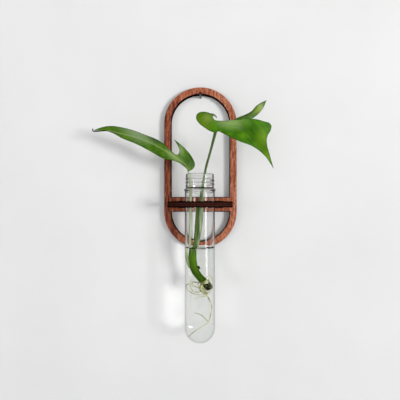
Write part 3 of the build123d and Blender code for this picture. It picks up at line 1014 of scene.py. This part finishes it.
def leaf_skin(name, tones, vein, midrib_share, side_share, patches):
    """Waxed leaf: green in fine streaks, with patches of painted sheen and painted shade, yellower
    patches, veins and a dark thin rim.
    """
    material, add, place = new_material(name)
    flat = add("UVMap", uv_map="along_and_beside_midrib")
    scale = (1 / leaf_streak_len, 1 / leaf_streak_w, 1.0)
    streak = add("Mapping", {"Vector": flat, "Scale": scale})
    streaks = add("TexNoise", {"Vector": streak, "Scale": 1.0, "Detail": 4.0})
    clouds = add("TexNoise", {"Vector": place, "Scale": 1 / (8 * MM), "Detail": 3.0})
    mottle = add("Mix", {0: 0.5, 2: streaks, 3: clouds})
    skin = add("ValToRGB", {"Fac": mottle}, list(zip((0.36, 0.5, 0.64), tones)))
    for centre, half_size, turn, share, patch_tone in patches:
        spot = add(
            "Mapping",
            {
                "Vector": place, "Location": centre * MM, "Rotation": (0, math.radians(turn), 0),
                "Scale": (half_size[0] * MM, 1.0, half_size[1] * MM),
            },
            vector_type="TEXTURE",
        )
        away = add("VectorMath", [spot], operation="LENGTH")
        frayed = add("Math", [streaks, 1.0, away], operation="MULTIPLY_ADD")
        reach = add("MapRange", [frayed, 1.5, 0.6, 0.0, share], interpolation_type="SMOOTHSTEP")
        skin = add("Mix", {0: reach, 6: skin, 7: patch_tone}, data_type="RGBA")
    split = add("SeparateXYZ", [flat])
    beside = add("Math", [split.outputs["Y"]], operation="ABSOLUTE")
    # Side veins leave the midrib at even gaps and lean towards the tip.
    lean = add("Math", [beside, side_vein_lean], operation="MULTIPLY")
    along = add("Math", [split.outputs["X"], lean], operation="SUBTRACT")
    to_vein = add("Math", [along, side_vein_gap / 2], operation="PINGPONG")
    side_vein = add("MapRange", [to_vein, 0.1, 0.8, side_share, 0.0])
    midrib = add("MapRange", [beside, 0.1, 0.9, midrib_share, 0.0])
    veins = add("Math", [side_vein, midrib], operation="MAXIMUM")
    veined = add("Mix", {0: veins, 6: skin, 7: vein}, data_type="RGBA")
    rim = add("Attribute", attribute_name="rim").outputs["Fac"]
    rim_share = add("MapRange", [rim, 0.3, 0.8, 0.0, 0.8])
    rimmed = add("Mix", {0: rim_share, 6: veined, 7: "#20370a"}, data_type="RGBA")
    relief = add("Bump", {"Height": veins, "Strength": 0.35, "Distance": 0.25 * MM}, invert=True)
    return finish_material(
        material, "BsdfPrincipled",
        {"Base Color": rimmed, "Roughness": 0.36, "Normal": relief, "Specular IOR Level": 0.1},
    )


def finish_leaf(name, bm, base, length, vein, depth, material, node):
    """Bend the flat blade, give it its thickness and lay its pattern along the midrib."""
    bmesh.ops.recalc_face_normals(bm, faces=bm.faces)
    for vert in bm.verts:
        along, beside = beside_vein(vein, base, length, vert.co)
        vert.co.y = depth(vert.co.x / MM, along, beside) * MM
    bmesh.ops.recalc_face_normals(bm, faces=bm.faces)
    rim = bm.verts.layers.float.new("rim")
    for vert in bm.verts:
        vert[rim] = 1.0 if vert.is_boundary else 0.0
    bmesh.ops.solidify(bm, geom=bm.faces[:], thickness=leaf_t * MM)
    bmesh.ops.recalc_face_normals(bm, faces=bm.faces)
    layer = bm.loops.layers.uv.new("along_and_beside_midrib")
    for face in bm.faces:
        for loop in face.loops:
            loop[layer].uv = beside_vein(vein, base, length, loop.vert.co)
    return add_piece(name, bm, [material], "cutting", node, crease=60)


def bend_depth(right, middle, forward, half_w, bulge):
    """How far out a blade is on an upright arc, which bulges forward in the middle of its width."""
    bend_r = (half_w ** 2 + bulge ** 2) / (2 * bulge)
    return mouth.y - forward + bend_r - math.sqrt(bend_r ** 2 - (right - middle) ** 2)


left_base = near_mouth(-9.3, 0, 2.2)
left_len = 86.2
left_lean = 0.3
left_lean_start = 20.0
left_horn_tip = (-0.136, 0.304)
left_tip = (-0.92, 0.392)
left_vein = [
    (0, 0), (-0.033, 0.068), (-0.128, 0.133), (-0.222, 0.193), (-0.329, 0.252), (-0.459, 0.307),
    (-0.616, 0.347), (-0.737, 0.38), (-0.93, 0.394),
]
left_upper = [
    left_tip, (-0.768, 0.425), (-0.6, 0.404), (-0.414, 0.342), (-0.252, 0.27), (-0.157, 0.183),
    (-0.103, 0.158), (-0.085, 0.2), (-0.103, 0.248), left_horn_tip,
]
left_horn = [left_horn_tip, (-0.023, 0.208), (0.043, 0.118), (0.058, 0.06), (0.036, 0.019), (0, 0)]
left_lower = [
    (0, 0), (-0.048, 0.049), (-0.124, 0.093), (-0.24, 0.121), (-0.356, 0.183), (-0.49, 0.253),
    (-0.629, 0.309), (-0.745, 0.369), left_tip,
]


def left_depth(right, along, beside):
    """The long blade arches over its midrib and leans back, so that its upper edge nears the wall."""
    flat = bend_depth(right, middle=left_base.x - 40.7, forward=6.0, half_w=41.0, bulge=5.0)
    lean = left_lean * beside * min(1.0, along / left_lean_start)
    return flat + blade_cup * beside ** 2 + lean - midrib_ridge * math.exp(-(beside / midrib_w) ** 2)


bm = cut_leaf(left_base, left_len, left_upper, left_horn, left_lower)
# Painted sheen: the first, second and last patches are paler, greyer light where the blade faces the
# room's light. The fourth is painted shade over the leaf's base and horn.
left_patches = [
    (near_mouth(-50.7, 0, 32.5), (23, 8.5), 24, 0.62, "#8fa27c"),
    (near_mouth(-15.6, 0, 19.5), (3.5, 7), -15, 0.45, painted_sheen),
    (near_mouth(-37.0, 0, 28.2), (13, 3.2), 27, 0.7, "#22380f"),
    (near_mouth(-8.6, 0, 10.5), (6.5, 9), 20, 0.6, "#2b4e05"),
    (near_mouth(-20.6, 0, 13.8), (12, 4.5), 37, 0.5, painted_sheen),
]
left_tones = ("#2f5608", "#406a0c", "#587e16")
skin = leaf_skin("waxed_leaf_left", left_tones, "#a3b878", 0.4, 0.1, left_patches)
finish_leaf("left_leaf_blade", bm, left_base, left_len, left_vein, left_depth, skin, "left_leaf")

right_base = near_mouth(13.0, 0, 32.7)
right_len = 55.6
right_fold = 1.6
right_fold_w = 4.0
right_fold_start = 14.0
right_curl = (0.007, 0.228)
right_sinus = (-0.047, 0.246)
right_tip = (0.862, -0.507)
right_vein = [
    (0, 0), (0.07, 0.055), (0.15, 0.094), (0.24, 0.111), (0.32, 0.102), (0.4, 0.06), (0.48, -0.015),
    (0.6, -0.163), (0.723, -0.317), (0.87, -0.51),
]
right_left_lobe = [
    (0, 0), (-0.088, 0.032), (-0.164, 0.083), (-0.237, 0.142), (-0.288, 0.232), (-0.263, 0.295),
    (-0.169, 0.315), (-0.065, 0.281), right_curl,
]
right_hook = [right_curl, (-0.022, 0.243), right_sinus]
right_upper = [
    right_sinus, (-0.014, 0.192), (0.061, 0.176), (0.27, 0.187), (0.522, 0.207), (0.705, 0.176),
    (0.813, 0.135), (0.817, 0.067), (0.759, -0.049), (0.754, -0.156), (0.795, -0.3), right_tip,
]
right_lower = [
    right_tip, (0.719, -0.318), (0.563, -0.201), (0.356, -0.128), (0.186, -0.052), (0.1, -0.004),
    (0.045, 0.022), (0.015, 0.01), (0, 0),
]


def right_depth(right, along, beside):
    """The broad blade is folded along its midrib, which lies back from the room."""
    flat = bend_depth(right, middle=right_base.x + 15.0, forward=9.0, half_w=34.0, bulge=5.0)
    fold = right_fold * math.exp(-(beside / right_fold_w) ** 2)
    return flat + fold * min(1.0, along / right_fold_start)


bm = cut_leaf(right_base, right_len, right_left_lobe, right_hook, right_upper, right_lower)
# The second and third patches are painted sheen, and the last is painted shade in the fold along the
# midrib. The others are the leaf's own yellower tone.
right_patches = [
    (near_mouth(3.6, 0, 42.5), (10, 12), 0, 0.75, "#6f8a1c"),
    (near_mouth(6.6, 0, 45.5), (6, 6), 0, 0.45, "#93a457"),
    (near_mouth(25.0, 0, 41.3), (17, 8.5), 8, 0.55, painted_sheen),
    (near_mouth(51.0, 0, 27.5), (8, 13), -10, 0.35, yellow_green),
    (near_mouth(55.5, 0, 12.5), (4, 9), -25, 0.7, yellow_green),
    (near_mouth(38.5, 0, 34.5), (13, 5), 50, 0.35, "#274a04"),
]
right_tones = ("#336006", "#437609", "#598c10")
skin = leaf_skin("waxed_leaf_right", right_tones, "#2a5206", 0.2, 0.1, right_patches)
right_blade = finish_leaf(
    "right_leaf_blade", bm, right_base, right_len, right_vein, right_depth, skin, "right_leaf"
)

lobe_start = 13.3
lobe_w = 41.9
lobe_forward = 8.2
lobe_back = 9.5
lobe_vein = [(0.03, 0.015), (0.216, 0.13), (0.45, 0.25), (0.6, 0.34), (0.77, 0.527)]
lobe_top = [
    (0.022, 0.02), (0.126, 0.121), (0.313, 0.232), (0.532, 0.344), (0.619, 0.441), (0.77, 0.527),
]
lobe_under = [
    (0.77, 0.527), (0.7, 0.379), (0.583, 0.261), (0.414, 0.171), (0.216, 0.081), (0.022, 0.02),
]


def lobe_depth(right, along, beside):
    """The back lobe runs away from the room, almost flat."""
    share = (right - mouth.x - lobe_start) / lobe_w
    return mouth.y - lobe_forward + lobe_back * share + blade_cup * beside ** 2


bm = cut_leaf(right_base, right_len, lobe_top, lobe_under)
# The last patch is painted sheen. The others are the lobe's own tones.
lobe_patches = [
    (near_mouth(49.0, 0, 53.8), (8, 4), -40, 0.8, "#8da23a"),
    (near_mouth(40.0, 0, 48.6), (4.5, 3), -35, 0.6, "#29480a"),
    (near_mouth(50.8, 0, 56.5), (5, 6), -45, 0.5, painted_sheen),
]
lobe_tones = ("#29480a", "#3b610e", "#50761c")
skin = leaf_skin("waxed_leaf_back_lobe", lobe_tones, "#8fa860", 0.3, 0.1, lobe_patches)
back_lobe = finish_leaf(
    "right_leaf_back_lobe", bm, right_base, right_len, lobe_vein, lobe_depth, skin, "right_leaf"
)

# The left leaf's tip and the corner of the right leaf's lobe have dried to a thin dark curl.
curl_r = 0.42
left_curl = [(-76.5, 35.3), (-80.5, 35.2), (-84.5, 35), (-87.8, 35), (-89, 35.9), (-88.6, 37.4)]
left_curl_skin = green_stalk("dried_leaf_tip", "#120d06", "#2e2513", [], 0.6)
lobe_curl = [(8.6, 48.3), (10.6, 48.2), (12.4, 47.2), (13.5, 45.6), (13.7, 45)]
lobe_curl_skin = green_stalk("dried_lobe_corner", "#3d4726", "#6f7a52", [], 0.5)
curls = (
    ("left_leaf_tip_curl", left_curl_skin, left_depth, left_curl),
    ("right_leaf_lobe_curl", lobe_curl_skin, right_depth, lobe_curl),
)
for name, skin, depth, route in curls:
    places = [near_mouth(right, 0, up) for right, up in route]
    knots = [(Vector((place.x, depth(place.x, 0, 0), place.z)), curl_r) for place in places]
    grow_piece(name, [knots], skin, crease=None)

# The right leaf lets the windows' light by, as the wall behind it is clear of shadow.
flagged = bpy.data.collections.new("no_shadow_from_window")
for piece in (right_blade, back_lobe):
    flagged.objects.link(piece)
for member in flagged.collection_objects:
    member.light_linking.link_state = "EXCLUDE"
for window in (window_right, window_left):
    window.light_linking.blocker_collection = flagged
